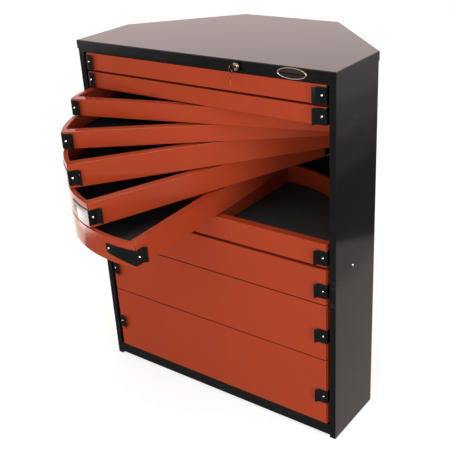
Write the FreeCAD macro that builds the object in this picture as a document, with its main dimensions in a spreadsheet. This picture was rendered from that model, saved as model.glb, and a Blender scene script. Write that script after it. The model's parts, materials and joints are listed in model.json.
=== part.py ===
import FreeCAD, Part
import math
import os
import Sketcher

# Corner tool cabinet: a six-sided steel cabinet with eleven half-disc drawers
# that swing about one upright shaft near the middle of its front.
# Millimetres. The shaft's axis is the Z axis, the floor is z = 0, the front
# faces -Y, and +X is on the right of someone who stands before the cabinet.

DRAWER_COUNT = 11

SIZES = {
    # Drawers: plan, which the cabinet is built around
    "drawer_radius": 428,
    "face_offset": 48,
    "drawer_corner": 6,
    "drawer_sheet": 1.2,
    "drawer_gap": 2,
    "front_flange": 26,
    "arc_flange": 12,
    "front_lip": 8,
    "lip_end_gap": 7,
    "hub_across": 36,
    "hub_gap": 0.3,
    "divider_sheet": 2,
    # Drawers: room for each, from the top drawer down
    "pitch_1": 56,
    "pitch_2": 56,
    "pitch_3": 56,
    "pitch_4": 56,
    "pitch_5": 76,
    "pitch_6": 76,
    "pitch_7": 76,
    "pitch_8": 76,
    "pitch_9": 123,
    "pitch_10": 190,
    "pitch_11": 234,
    # Drawers: how far two of the trays' tops stay below the rest of their room
    "top_drop_2": 3,
    "top_drop_9": 6,
    # Drawers: how far each stands open, in degrees
    "open_1": 0,
    "open_2": 0,
    "open_3": 15.9,
    "open_4": 35.6,
    "open_5": 52.2,
    "open_6": 69.2,
    "open_7": 92.2,
    "open_8": 0,
    "open_9": 0,
    "open_10": 0,
    "open_11": 0,
    # Drawer mats
    "mat_thickness": 2,
    "mat_clearance": 2,
    # Corner pulls, and how high the middle of each is on its drawer
    "pull_sheet": 2,
    "pull_height": 46,
    "pull_front_leg": 25,
    "pull_side_leg": 105,
    "pull_end_height": 27,
    "pull_flare_radius": 9,
    "pull_flare_angle": 55,
    "pull_flare_length": 10,
    "pull_rise_1": 24,
    "pull_rise_2": 24,
    "pull_rise_3": 24,
    "pull_rise_4": 24,
    "pull_rise_5": 30,
    "pull_rise_6": 30,
    "pull_rise_7": 30,
    "pull_rise_8": 28,
    "pull_rise_9": 44,
    "pull_rise_10": 82,
    "pull_rise_11": 100,
    # Room left round the drawers as they turn
    "post_clearance": 5,
    "rear_clearance": 22.7,
    "back_clearance": 35,
    # Folded body panels
    "body_sheet": 1.2,
    "post_width": 20,
    "post_return": 10,
    "post_bend": 1,
    "joint_flange": 14,
    # Lid
    "head_height": 35,
    "lid_rim": 26,
    "lid_sheet": 1.5,
    "lid_overhang": 2,
    "lid_edge_radius": 2.5,
    # Rails, base pan, brace and stiffeners
    "rail_bottom": 9.5,
    "rail_top": 46,
    "rail_depth": 20,
    "rail_lip": 14,
    "pan_rim": 24,
    "brace_width": 70,
    "brace_leg": 16,
    "stiffener_width": 60,
    "stiffener_depth": 11,
    "stiffener_wing": 14,
    "stiffener_place": 52,
    "stiffener_gap": 6,
    # Shaft with its foot and its head
    "shaft_diameter": 25.4,
    "running_clearance": 0.05,
    "shaft_end_gap": 5,
    "boss_across": 40,
    "boss_clearance": 0.2,
    "foot_pad_width": 64,
    "foot_pad_thickness": 6,
    "foot_socket_floor": 2,
    "foot_flange_width": 72,
    "head_flange_width": 64,
    "end_flange_thickness": 3,
    # Lock
    "lock_x": 148,
    "lock_rise": 16,
    "lock_face_diameter": 21,
    "lock_face_thickness": 2,
    "barrel_across": 17,
    "barrel_length": 17,
    "clip_thickness": 1.5,
    "clip_margin": 5,
    "plug_diameter": 12.6,
    "plug_proud": 0.4,
    "plug_tail": 4.5,
    "tail_across": 8,
    "cam_thickness": 2,
    "cam_width": 12,
    "cam_reach": 26,
    "cam_chamfer": 3,
    "cam_slot_clearance": 3,
    # Key
    "key_thickness": 2,
    "keyway_clearance": 0.2,
    "key_blade_height": 7.4,
    "key_blade_inside": 14,
    "key_neck": 5,
    "key_bow_length": 24,
    "key_bow_height": 21,
    "key_bow_corner": 6,
    "key_hole_diameter": 6,
}

# How many straight sides stand for a quarter turn, where the edge is narrow or
# hidden enough for its curve not to matter.
EDGE_SIDES = 12
MAT_SIDES = 6
BEND_SIDES = 3

doc = FreeCAD.newDocument("corner_tool_cabinet")
sheet = doc.addObject("Spreadsheet::Sheet", "Dims")
for row, (size_name, size_value) in enumerate(SIZES.items(), start=1):
    sheet.set("A{}".format(row), size_name)
    sheet.set("B{}".format(row), str(size_value))
    sheet.setAlias("B{}".format(row), size_name)
doc.recompute()


class Size:
    """A size kept twice: as a number and as an expression on the sheet's cells."""

    def __init__(self, value, text):
        self.value = value
        self.text = text

    def joined(self, other, sign, value):
        return Size(value, "({} {} {})".format(self.text, sign, other.text))

    def __add__(self, other):
        other = as_size(other)
        return self.joined(other, "+", self.value + other.value)

    def __sub__(self, other):
        other = as_size(other)
        return self.joined(other, "-", self.value - other.value)

    def __mul__(self, other):
        other = as_size(other)
        return self.joined(other, "*", self.value * other.value)

    def __truediv__(self, other):
        other = as_size(other)
        return self.joined(other, "/", self.value / other.value)

    def __radd__(self, other):
        return as_size(other) + self

    def __rsub__(self, other):
        return as_size(other) - self

    def __rmul__(self, other):
        return as_size(other) * self

    def __neg__(self):
        return as_size(0) - self


def as_size(number):
    """A plain number as a Size."""
    if isinstance(number, Size):
        return number
    return Size(float(number), "({:.9f})".format(number))


def dim(alias):
    """The size that the sheet holds under this alias."""
    return Size(float(getattr(sheet, alias)), "Dims." + alias)


def sine_cosine(angle):
    """An angle's sine and cosine, the angle being a size in degrees."""
    turn = math.radians(angle.value)
    return (Size(math.sin(turn), "sin({})".format(angle.text)),
            Size(math.cos(turn), "cos({})".format(angle.text)))


def leg(long_side, short_side):
    """The third side of a right triangle, from its longest side and one other."""
    rest = long_side * long_side - short_side * short_side
    return Size(math.sqrt(rest.value), "sqrt({})".format(rest.text))


def bind(thing, **sizes):
    """Set each property to its size and tie it to the sheet."""
    for prop, size in sizes.items():
        size = as_size(size)
        setattr(thing, prop, size.value)
        thing.setExpression(prop, size.text)


def put(thing, x=0, y=0, z=0, turn=0, axis=(0, 0, 1)):
    """Place a thing at a point, turned about an axis, both tied to the sheet."""
    place = [as_size(value) for value in (x, y, z)]
    rotation = FreeCAD.Rotation(FreeCAD.Vector(*axis), as_size(turn).value)
    base = FreeCAD.Vector(*[size.value for size in place])
    thing.Placement = FreeCAD.Placement(base, rotation)
    for letter, size in zip("xyz", place):
        thing.setExpression("Placement.Base." + letter, size.text)
    if isinstance(turn, Size):
        thing.setExpression("Placement.Rotation.Angle", turn.text)
    return thing


def box(name, length, width, height, x=0, y=0, z=0):
    """A block with its low corner at x, y, z."""
    thing = doc.addObject("Part::Box", name)
    bind(thing, Length=length, Width=width, Height=height)
    return put(thing, x, y, z)


def square(name, width, height, z):
    """A square plate about the shaft's axis."""
    return box(name, width, width, height, -width / 2, -width / 2, z)


def rod(name, radius, height, x=0, y=0, z=0, axis=None):
    """A cylinder that starts at x, y, z and runs up, or along +Y where axis is "y"."""
    thing = doc.addObject("Part::Cylinder", name)
    bind(thing, Radius=radius, Height=height)
    if axis == "y":
        return put(thing, x, y, z, turn=-90, axis=(1, 0, 0))
    return put(thing, x, y, z)


def octagon(name, across, height, x=0, y=0, z=0, axis=None):
    """An eight-sided bar of this width over its flats, set as rod sets a cylinder."""
    half_side = 180 / 8
    thing = doc.addObject("Part::Prism", name)
    thing.Polygon = 8
    bind(thing, Circumradius=across / 2 / math.cos(math.radians(half_side)), Height=height)
    turn = FreeCAD.Rotation(FreeCAD.Vector(0, 0, 1), half_side)
    if axis == "y":
        turn = FreeCAD.Rotation(FreeCAD.Vector(1, 0, 0), -90).multiply(turn)
    return put(thing, x, y, z, turn=math.degrees(turn.Angle), axis=tuple(turn.Axis))


def cut(name, base, tool):
    """The base less the tool."""
    thing = doc.addObject("Part::Cut", name)
    thing.Base = base
    thing.Tool = tool
    return thing


def common(name, base, tool):
    """What the base and the tool share."""
    thing = doc.addObject("Part::Common", name)
    thing.Base = base
    thing.Tool = tool
    return thing


def fuse(name, *shapes):
    """Several shapes made one."""
    thing = doc.addObject("Part::MultiFuse", name)
    thing.Shapes = list(shapes)
    thing.Refine = True
    return thing


def group(name, *shapes):
    """Several separate solids kept as one piece of the list."""
    thing = doc.addObject("Part::Compound", name)
    thing.Links = list(shapes)
    return thing


def mirrored(name, source):
    """The source's mirror image on the other side of the plane x = 0."""
    thing = doc.addObject("Part::Mirroring", name)
    thing.Source = source
    thing.Normal = FreeCAD.Vector(1, 0, 0)
    return thing


def corner(x, y):
    """One corner of an outline, as two sizes."""
    return (as_size(x), as_size(y))


def draw(sketch, corners, round_side=None):
    """Draw a closed outline, each corner at its distance from both axes.

    One side may be round: an arc about the origin, from the corner of that
    number to the next one. Its far end then takes only its height from the
    list, because the arc's radius settles the rest.
    """
    points = [FreeCAD.Vector(x.value, y.value, 0) for x, y in corners]
    count = len(points)
    for index, start in enumerate(points):
        end = points[(index + 1) % count]
        side = Part.LineSegment(start, end)
        if index == round_side:
            circle = Part.Circle(FreeCAD.Vector(0, 0, 0), FreeCAD.Vector(0, 0, 1), start.Length)
            side = Part.ArcOfCircle(
                circle, math.atan2(start.y, start.x), math.atan2(end.y, end.x) % (2 * math.pi))
        sketch.addGeometry(side, False)
    for index in range(count):
        sketch.addConstraint(Sketcher.Constraint("Coincident", index, 2, (index + 1) % count, 1))
    if round_side is not None:
        sketch.addConstraint(Sketcher.Constraint("Coincident", round_side, 3, -1, 1))
    for index, (x, y) in enumerate(corners):
        rules = [("DistanceX", x), ("DistanceY", y)]
        if round_side is not None and index == round_side + 1:
            rules = [("DistanceY", y)]
        for kind, size in rules:
            rule = sketch.addConstraint(
                Sketcher.Constraint(kind, -1, 1, index, 1, size.value))
            sketch.setExpression("Constraints[{}]".format(rule), size.text)
    return sketch


def plan(name, corners, round_side=None):
    """A level outline that more than one solid is pulled up from."""
    return draw(doc.addObject("Sketcher::SketchObject", name), corners, round_side)


def raised(name, outline, height, z=0):
    """A plan pulled up into a solid."""
    thing = doc.addObject("Part::Extrusion", name)
    thing.Base = outline
    thing.DirMode = "Normal"
    thing.Solid = True
    bind(thing, LengthFwd=height)
    return put(thing, z=z)


def padded(name, role, corners, length, x=0, y=0, z=0):
    """A body made by padding an outline off one of its own origin planes.

    The pad grows along +Z from XY_Plane, along +X from YZ_Plane and along -Y
    from XZ_Plane.
    """
    body = doc.addObject("PartDesign::Body", name)
    outline = body.newObject("Sketcher::SketchObject", name + "_outline")
    plane = [item for item in body.Origin.OriginFeatures if item.Role == role][0]
    outline.AttachmentSupport = [(plane, "")]
    outline.MapMode = "FlatFace"
    draw(outline, corners)
    pad = body.newObject("PartDesign::Pad", name + "_pad")
    pad.Profile = outline
    bind(pad, Length=length)
    return put(body, x, y, z)


def softened(body, radius, wanted):
    """Round each edge of a body that wanted(edge) picks."""
    doc.recompute()
    pad = body.Tip
    edges = enumerate(pad.Shape.Edges, start=1)
    names = ["Edge{}".format(number) for number, edge in edges if wanted(edge)]
    fillet = body.newObject("PartDesign::Fillet", body.Name + "_bends")
    fillet.Base = (pad, names)
    bind(fillet, Radius=radius)
    return body


# Sizes that several pieces share

face = dim("face_offset")
tray_radius = dim("drawer_radius")
tray_sheet = dim("drawer_sheet")
pull_sheet = dim("pull_sheet")
sweep = tray_radius + pull_sheet
body_sheet = dim("body_sheet")
lid_sheet = dim("lid_sheet")
overhang = dim("lid_overhang")
post_inner = sweep + dim("post_clearance")
body_half = post_inner + dim("post_width")
body_front = face
lid_front = face + overhang
body_back = sweep + dim("back_clearance")
hub_bore = dim("shaft_diameter") / 2 + dim("running_clearance")

# Levels between the drawers, from the header down, built up from the base

levels = [dim("rail_top")]
for number in range(DRAWER_COUNT, 0, -1):
    levels.insert(0, levels[0] + dim("pitch_{}".format(number)))
stack_top = levels[0]
lid_top = stack_top + dim("head_height")
lid_under = lid_top - lid_sheet
rim_bottom = lid_top - dim("lid_rim")

# On the cut corners x + y is steady. A sheet laid inside them lowers that sum
# by its own thickness times CUT_STEP.
CUT_STEP = math.sqrt(2)
cut_sum = (sweep + dim("rear_clearance")) * CUT_STEP


def footprint(inset, front):
    """The cabinet's six corners, moved in by inset, with the front edge at -front."""
    side = body_half - inset
    back = body_back - inset
    line = cut_sum - inset * CUT_STEP
    return [
        corner(-side, -front),
        corner(side, -front),
        corner(side, line - side),
        corner(line - back, back),
        corner(back - line, back),
        corner(-side, line - side),
    ]


def along_cut(start_x, start_y, length, way):
    """A point this far from the start along the right-hand cut corner."""
    step = length / CUT_STEP
    return corner(start_x - step * way, start_y + step * way)


# Lid: a folded pan, open below, with the lock's hole in its front rim

lid_solid = padded(
    "lid_solid", "XY_Plane", footprint(-overhang, lid_front), dim("lid_rim"), z=rim_bottom)


def is_lid_top(edge):
    """Whether an edge runs round the lid's upper face."""
    return all(abs(vertex.Point.z - dim("lid_rim").value) < 1e-6 for vertex in edge.Vertexes)


softened(lid_solid, dim("lid_edge_radius"), is_lid_top)
lid_inside = plan("lid_inside_plan", footprint(lid_sheet - overhang, lid_front - lid_sheet))
lid_hollow = raised("lid_hollow", lid_inside, dim("lid_rim") - lid_sheet, rim_bottom)
lock_x = dim("lock_x")
lock_z = stack_top + dim("lock_rise")
lock_hole = dim("barrel_across") + dim("boss_clearance") * 2
lid_lock_hole = octagon(
    "lid_lock_hole", lock_hole, lid_front, lock_x, -lid_front, lock_z, axis="y")
top_lid = cut("top_lid", cut("lid_shell", lid_solid, lid_hollow), lid_lock_hole)

# Side panels: each is folded into a front post and into a flange behind the
# cut corner, and stands on the floor

inner_side = body_half - body_sheet
inner_line = cut_sum - body_sheet * CUT_STEP
flange_line = cut_sum - body_sheet * 2 * CUT_STEP
flange = dim("joint_flange")
flange_end = along_cut(inner_side, inner_line - inner_side, flange, 1)
sheet_step = body_sheet / CUT_STEP
side_panel_right = padded("side_panel_right", "XY_Plane", [
    corner(body_half, -body_front),
    corner(body_half, cut_sum - body_half),
    corner(inner_side, inner_line - inner_side),
    flange_end,
    corner(flange_end[0] - sheet_step, flange_end[1] - sheet_step),
    corner(inner_side, flange_line - inner_side),
    corner(inner_side, body_sheet - body_front),
    corner(post_inner + body_sheet, body_sheet - body_front),
    corner(post_inner + body_sheet, dim("post_return") - body_front),
    corner(post_inner, dim("post_return") - body_front),
    corner(post_inner, -body_front),
], lid_under)


def is_post_bend(edge):
    """Whether an edge is one of the post's two outer bends."""
    first = edge.Vertexes[0].Point
    last = edge.Vertexes[-1].Point
    upright = abs(first.x - last.x) < 1e-6 and abs(first.z - last.z) > 1e-6
    return upright and max(abs(p.y + body_front.value) for p in (first, last)) < 1e-6


softened(side_panel_right, dim("post_bend"), is_post_bend)
side_panel_left = mirrored("side_panel_left", side_panel_right)

# Rear panels: two flat cut corners and the narrow back with its two flanges

inner_back = body_back - body_sheet
rear_panel_right = padded("rear_panel_right", "XY_Plane", [
    corner(body_half, cut_sum - body_half),
    corner(cut_sum - body_back, body_back),
    corner(inner_line - inner_back, inner_back),
    corner(inner_side, inner_line - inner_side),
], lid_under)
rear_panel_left = mirrored("rear_panel_left", rear_panel_right)
back_flange_end = along_cut(inner_line - inner_back, inner_back, flange, -1)
back_right = [
    corner(cut_sum - body_back, body_back),
    corner(inner_line - inner_back, inner_back),
    back_flange_end,
    corner(back_flange_end[0] - sheet_step, back_flange_end[1] - sheet_step),
    corner(flange_line - inner_back, inner_back),
]
back_left = [corner(-x, y) for x, y in reversed(back_right)]
back_panel = padded("back_panel", "XY_Plane", back_right + back_left, lid_under)

# Base pan: a plate below the lowest drawer, its rim turned down, with a hole
# that the shaft's foot comes up through

boss_across = dim("boss_across")
pan_inset = body_sheet * 2
pan_front = body_front - dim("post_return")
pan_top = dim("rail_top") - body_sheet
pan_rim = dim("pan_rim")
pan_low = pan_top - pan_rim
pan_outside = plan("pan_outside_plan", footprint(pan_inset, pan_front))
pan_inside = plan(
    "pan_inside_plan", footprint(pan_inset + body_sheet, pan_front - body_sheet))
pan_shell = cut(
    "pan_shell",
    raised("pan_block", pan_outside, pan_rim, pan_low),
    raised("pan_hollow", pan_inside, pan_rim - body_sheet, pan_low))
base_pan = cut("base_pan", pan_shell, octagon(
    "pan_hole", boss_across + dim("boss_clearance") * 2, pan_rim, z=pan_low))

# Front rails: folded channels between the posts, deeper at the top edge


def channel(name, bottom, top):
    """A front rail, open at its back."""
    deep = dim("rail_depth") - body_front
    shallow = dim("rail_lip") - body_front
    return padded(name, "YZ_Plane", [
        corner(-body_front, bottom),
        corner(shallow, bottom),
        corner(shallow, bottom + body_sheet),
        corner(body_sheet - body_front, bottom + body_sheet),
        corner(body_sheet - body_front, top - body_sheet),
        corner(deep, top - body_sheet),
        corner(deep, top),
        corner(-body_front, top),
    ], post_inner * 2, x=-post_inner)


bottom_rail = channel("bottom_rail", dim("rail_bottom"), dim("rail_top"))
header_channel = channel("header_channel", stack_top, lid_under)
header_hole = octagon(
    "header_hole", lock_hole, body_sheet * 2,
    lock_x, -body_front - body_sheet / 2, lock_z, axis="y")
header_rail = cut("header_rail", header_channel, header_hole)

# Brace under the lid: a channel from the header to the back panel that holds
# the shaft's upper end

brace_half = dim("brace_width") / 2
brace_bottom = lid_under - dim("brace_leg")
brace_start = dim("rail_depth") - body_front
top_brace = padded("top_brace", "XZ_Plane", [
    corner(-brace_half, brace_bottom),
    corner(-brace_half, lid_under),
    corner(brace_half, lid_under),
    corner(brace_half, brace_bottom),
    corner(brace_half - body_sheet, brace_bottom),
    corner(brace_half - body_sheet, lid_under - body_sheet),
    corner(body_sheet - brace_half, lid_under - body_sheet),
    corner(body_sheet - brace_half, brace_bottom),
], inner_back - brace_start, y=inner_back)

# Stiffener inside each side panel: a hat section between the base pan and the lid

hat_low = dim("stiffener_place") - dim("stiffener_width") / 2
hat_high = dim("stiffener_place") + dim("stiffener_width") / 2
hat_wing = dim("stiffener_wing")
hat_crown = inner_side - dim("stiffener_depth")
hat_gap = dim("stiffener_gap")
side_stiffener_right = padded("side_stiffener_right", "XY_Plane", [
    corner(inner_side, hat_low),
    corner(inner_side, hat_low + hat_wing),
    corner(hat_crown + body_sheet, hat_low + hat_wing),
    corner(hat_crown + body_sheet, hat_high - hat_wing),
    corner(inner_side, hat_high - hat_wing),
    corner(inner_side, hat_high),
    corner(inner_side - body_sheet, hat_high),
    corner(inner_side - body_sheet, hat_high - hat_wing + body_sheet),
    corner(hat_crown, hat_high - hat_wing + body_sheet),
    corner(hat_crown, hat_low + hat_wing - body_sheet),
    corner(inner_side - body_sheet, hat_low + hat_wing - body_sheet),
    corner(inner_side - body_sheet, hat_low),
], lid_under - pan_top - hat_gap * 2, z=pan_top + hat_gap)
side_stiffener_left = mirrored("side_stiffener_left", side_stiffener_right)

# Shaft, the foot that stands it on the floor and carries the drawers, and the
# head under the brace

foot_pad = dim("foot_pad_thickness")
shaft_bottom = foot_pad + dim("foot_socket_floor")
web_under = lid_under - body_sheet
shaft_length = web_under - dim("shaft_end_gap") - shaft_bottom
pivot_shaft = rod("pivot_shaft", dim("shaft_diameter") / 2, shaft_length, z=shaft_bottom)
end_flange = dim("end_flange_thickness")
foot_top = levels[DRAWER_COUNT]
foot_welded = fuse(
    "foot_welded",
    square("foot_pad", dim("foot_pad_width"), foot_pad, 0),
    octagon("foot_boss", boss_across, foot_top - foot_pad, z=foot_pad),
    square(
        "foot_flange", dim("foot_flange_width"), end_flange,
        pan_top - body_sheet - end_flange))
shaft_foot = cut(
    "shaft_foot", foot_welded,
    rod("foot_bore", hub_bore, foot_top - shaft_bottom, z=shaft_bottom))
head_welded = fuse(
    "head_welded",
    octagon("head_boss", boss_across, web_under - stack_top, z=stack_top),
    square("head_flange", dim("head_flange_width"), end_flange, web_under - end_flange))
shaft_head = cut(
    "shaft_head", head_welded, rod("head_bore", hub_bore, web_under - stack_top, z=stack_top))

# Lock: barrel and clip held in the header, plug, cam and key that turn together

lock_face = dim("lock_face_thickness")
barrel_across = dim("barrel_across")
barrel_length = dim("barrel_length")
plug_radius = dim("plug_diameter") / 2
barrel_face = rod(
    "barrel_face", dim("lock_face_diameter") / 2, lock_face,
    lock_x, -lid_front - lock_face, lock_z, axis="y")
barrel_bar = octagon(
    "barrel_bar", barrel_across, barrel_length, lock_x, -lid_front, lock_z, axis="y")
barrel_bore = rod(
    "barrel_bore", plug_radius + dim("running_clearance"), barrel_length + lock_face,
    lock_x, -lid_front - lock_face, lock_z, axis="y")
lock_barrel = cut("lock_barrel", fuse("barrel_body", barrel_face, barrel_bar), barrel_bore)

clip_sheet = dim("clip_thickness")
clip_front = body_sheet - body_front
clip_slot = barrel_across / 2 + dim("running_clearance")
clip_edge = clip_slot + dim("clip_margin")
lock_clip = padded("lock_clip", "XZ_Plane", [
    corner(-clip_edge, -clip_slot),
    corner(-clip_slot, -clip_slot),
    corner(-clip_slot, clip_slot),
    corner(clip_slot, clip_slot),
    corner(clip_slot, -clip_slot),
    corner(clip_edge, -clip_slot),
    corner(clip_edge, clip_slot + clip_sheet),
    corner(-clip_edge, clip_slot + clip_sheet),
], clip_sheet, x=lock_x, y=clip_front + clip_sheet, z=lock_z)

key_sheet = dim("key_thickness")
key_height = dim("key_blade_height")
blade_inside = dim("key_blade_inside")
keyway_gap = dim("keyway_clearance")
plug_front = -lid_front - lock_face - dim("plug_proud")
plug_back = barrel_length - lid_front
tail = dim("plug_tail")
tail_across = dim("tail_across")
plug_rod = rod(
    "plug_rod", plug_radius, plug_back - plug_front, lock_x, plug_front, lock_z, axis="y")
plug_tail = box(
    "plug_tail_bar", tail_across, tail + lock_face, tail_across,
    lock_x - tail_across / 2, plug_back - lock_face, lock_z - tail_across / 2)
keyway = box(
    "keyway", key_sheet + keyway_gap * 2, blade_inside + keyway_gap,
    key_height + keyway_gap * 2, lock_x - key_sheet / 2 - keyway_gap, plug_front,
    lock_z - key_height / 2 - keyway_gap)
lock_plug = cut("lock_plug", fuse("plug_body", plug_rod, plug_tail), keyway)

cam_sheet = dim("cam_thickness")
cam_half = dim("cam_width") / 2
cam_reach = dim("cam_reach")
cam_chamfer = dim("cam_chamfer")
cam_back = plug_back + tail
cam_arm = padded("cam_arm", "XZ_Plane", [
    corner(-cam_half, -cam_half),
    corner(cam_reach - cam_chamfer, -cam_half),
    corner(cam_reach, cam_chamfer - cam_half),
    corner(cam_reach, cam_half - cam_chamfer),
    corner(cam_reach - cam_chamfer, cam_half),
    corner(-cam_half, cam_half),
], cam_sheet, x=lock_x, y=cam_back, z=lock_z)
cam_hole = box(
    "cam_hole", tail_across, cam_sheet, tail_across,
    lock_x - tail_across / 2, cam_back - cam_sheet, lock_z - tail_across / 2)
lock_cam = cut("lock_cam", cam_arm, cam_hole)

blade_half = key_height / 2
neck = dim("key_neck")
key_end = neck + dim("key_bow_length")
bow_half = dim("key_bow_height") / 2
bow_corner = dim("key_bow_corner")
key_blank = padded("key_blank", "YZ_Plane", [
    corner(blade_inside - blade_half, -blade_half),
    corner(blade_inside, 0),
    corner(blade_inside - blade_half, blade_half),
    corner(-neck, blade_half),
    corner(-neck, bow_half - bow_corner),
    corner(-neck - bow_corner, bow_half),
    corner(bow_corner - key_end, bow_half),
    corner(-key_end, bow_half - bow_corner),
    corner(-key_end, bow_corner - bow_half),
    corner(bow_corner - key_end, -bow_half),
    corner(-neck - bow_corner, -bow_half),
    corner(-neck, bow_corner - bow_half),
    corner(-neck, -blade_half),
], key_sheet, x=lock_x - key_sheet / 2, y=plug_front, z=lock_z)
key_hole_radius = dim("key_hole_diameter") / 2
key_hole = doc.addObject("Part::Cylinder", "key_hole")
bind(key_hole, Radius=key_hole_radius, Height=key_sheet)
put(
    key_hole, lock_x - key_sheet / 2, plug_front - key_end + key_hole_radius * 2, lock_z,
    turn=90, axis=(0, 1, 0))
key = cut("key", key_blank, key_hole)

# Drawer outlines. The wall and the pull's side leg are true arcs about the shaft.


def bend(index):
    """How far round a quarter turn this corner of a bend is, as sine and cosine."""
    angle = math.radians(90 * index / BEND_SIDES)
    return math.sin(angle), math.cos(angle)


def half_disc(name, radius, front, corner_radius):
    """A drawer's outline: straight front, round back and a bend at each corner."""
    start_x = leg(radius - corner_radius, front - corner_radius)
    right = []
    for index in range(BEND_SIDES):
        sine, cosine = bend(index)
        right.append(corner(
            start_x + corner_radius * sine, corner_radius * (1 - cosine) - front))
    right.append(corner(leg(radius, front - corner_radius), corner_radius - front))
    left = [corner(-x, y) for x, y in reversed(right)]
    return plan(name, right + left, round_side=len(right) - 1)


def sided_half_disc(name, radius, front, quarter_sides):
    """The same outline with square corners and its round back made of straight sides."""
    end_x = leg(radius, front)
    corners = [corner(-end_x, -front), corner(end_x, -front)]
    for index in range(quarter_sides * 2 + 1):
        angle = math.radians(90 * index / quarter_sides)
        corners.append(corner(radius * math.cos(angle), radius * math.sin(angle)))
    return plan(name, corners)


drawer_corner = dim("drawer_corner")
tray_plan = half_disc("tray_plan", tray_radius, face, drawer_corner)
cavity_plan = sided_half_disc(
    "cavity_plan", tray_radius - tray_sheet, face - tray_sheet, EDGE_SIDES)
mouth_front = face - dim("front_flange")
mouth_radius = tray_radius - dim("arc_flange")
mouth_plan = sided_half_disc("mouth_plan", mouth_radius, mouth_front, EDGE_SIDES)

# Mat: two rubber sheets, one each side of the divider, cut out round the hub

mat_gap = dim("mat_clearance")
mat_sheet = dim("mat_thickness")
divider = dim("divider_sheet")
hub_across = dim("hub_across")
mat_plan = sided_half_disc(
    "mat_plan", tray_radius - tray_sheet - mat_gap, face - tray_sheet - mat_gap, MAT_SIDES)
mat_slot = box(
    "mat_slot", divider + mat_gap * 2, tray_radius * 2, mat_sheet,
    -divider / 2 - mat_gap, -tray_radius)
mat_eye = square("mat_eye", hub_across + mat_gap * 2, mat_sheet, 0)
mat_sheets = cut(
    "mat_sheets", cut("mat_halves", raised("mat_blank", mat_plan, mat_sheet), mat_slot), mat_eye)

# Corner pull: a plate that wraps the drawer's front corner, narrows along the
# round side and flares out from the front for the fingers. Its low edge is z = 0.

pull_height = dim("pull_height")
pull_outside = half_disc(
    "pull_outside_plan", sweep, face + pull_sheet, drawer_corner + pull_sheet)
pull_ring = cut(
    "pull_ring",
    raised("pull_ring_outside", pull_outside, pull_height),
    raised("pull_ring_inside", tray_plan, pull_height))
front_end = tray_radius - dim("pull_front_leg")
pull_wrap = common("pull_wrap", pull_ring, box(
    "pull_extent", sweep - front_end, dim("pull_side_leg") + pull_sheet,
    pull_height, front_end, -face - pull_sheet))
flare = dim("pull_flare_radius")
flare_length = dim("pull_flare_length")
back_side = []
front_side = []
for index in range(BEND_SIDES + 1):
    sine, cosine = sine_cosine(dim("pull_flare_angle") * index / BEND_SIDES)
    for side, radius in ((back_side, flare), (front_side, flare - pull_sheet)):
        side.append(corner(front_end - radius * sine, radius * cosine - face - flare))
for side in (back_side, front_side):
    bend_x, bend_y = side[-1]
    side.append(corner(bend_x - flare_length * cosine, bend_y - flare_length * sine))
flare_plan = plan("pull_flare_plan", back_side + front_side[::-1])
pull_blank = fuse("pull_blank", pull_wrap, raised("pull_flare", flare_plan, pull_height))
taper_start = drawer_corner - face
taper_end = dim("pull_side_leg") + pull_sheet - face
pull_taper = padded("pull_taper", "YZ_Plane", [
    corner(taper_start, 0),
    corner(taper_start, -pull_sheet),
    corner(taper_end, -pull_sheet),
    corner(taper_end, pull_height - dim("pull_end_height")),
], sweep + pull_sheet)
pull_right = cut("pull_right", pull_blank, pull_taper)
pull_left = mirrored("pull_left", pull_right)


def make_tray(number, height, room):
    """One drawer's welded tray, closed, with its low edge at z = 0.

    Its hub is as long as the drawer's room, because the hubs stand on each other.
    """
    tag = "tray_{}_".format(number)
    block = raised(tag + "block", tray_plan, height)
    cavity = raised(tag + "cavity", cavity_plan, height - tray_sheet * 2, tray_sheet)
    mouth = raised(tag + "mouth", mouth_plan, height, tray_sheet)
    shell = cut(tag + "shell", cut(tag + "box", block, cavity), mouth)
    spine = box(
        tag + "spine", divider, tray_radius + face - tray_sheet, height - tray_sheet * 1.5,
        -divider / 2, tray_sheet / 2 - face, tray_sheet / 2)
    lip_end = leg(mouth_radius, mouth_front) - dim("lip_end_gap")
    lip = box(
        tag + "lip", lip_end * 2, tray_sheet, dim("front_lip") - tray_sheet / 2,
        -lip_end, -mouth_front - tray_sheet, height - dim("front_lip"))
    hub_low = dim("hub_gap") / 2 - dim("drawer_gap")
    hub_height = room - dim("hub_gap")
    hub = octagon(tag + "hub", hub_across, hub_height, z=hub_low)
    welded = fuse(tag + "welded", shell, spine, lip, hub)
    return cut(tag + "bored", welded, rod(tag + "bore", hub_bore, hub_height, z=hub_low))


def slotted_for_cam(tray, height):
    """The top tray with a slot in its front flange, as long as the cam's sweep down into it."""
    clearance = dim("cam_slot_clearance")
    slot = box(
        "cam_slot", cam_half + clearance + cam_reach, cam_sheet + clearance * 2, tray_sheet * 2,
        lock_x - cam_half - clearance, cam_back - cam_sheet - clearance,
        height - tray_sheet * 1.5)
    return cut("tray_1_slotted", tray, slot)


# Drawers: tray, mat and pulls, placed at their height and turned to their angle

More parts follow.
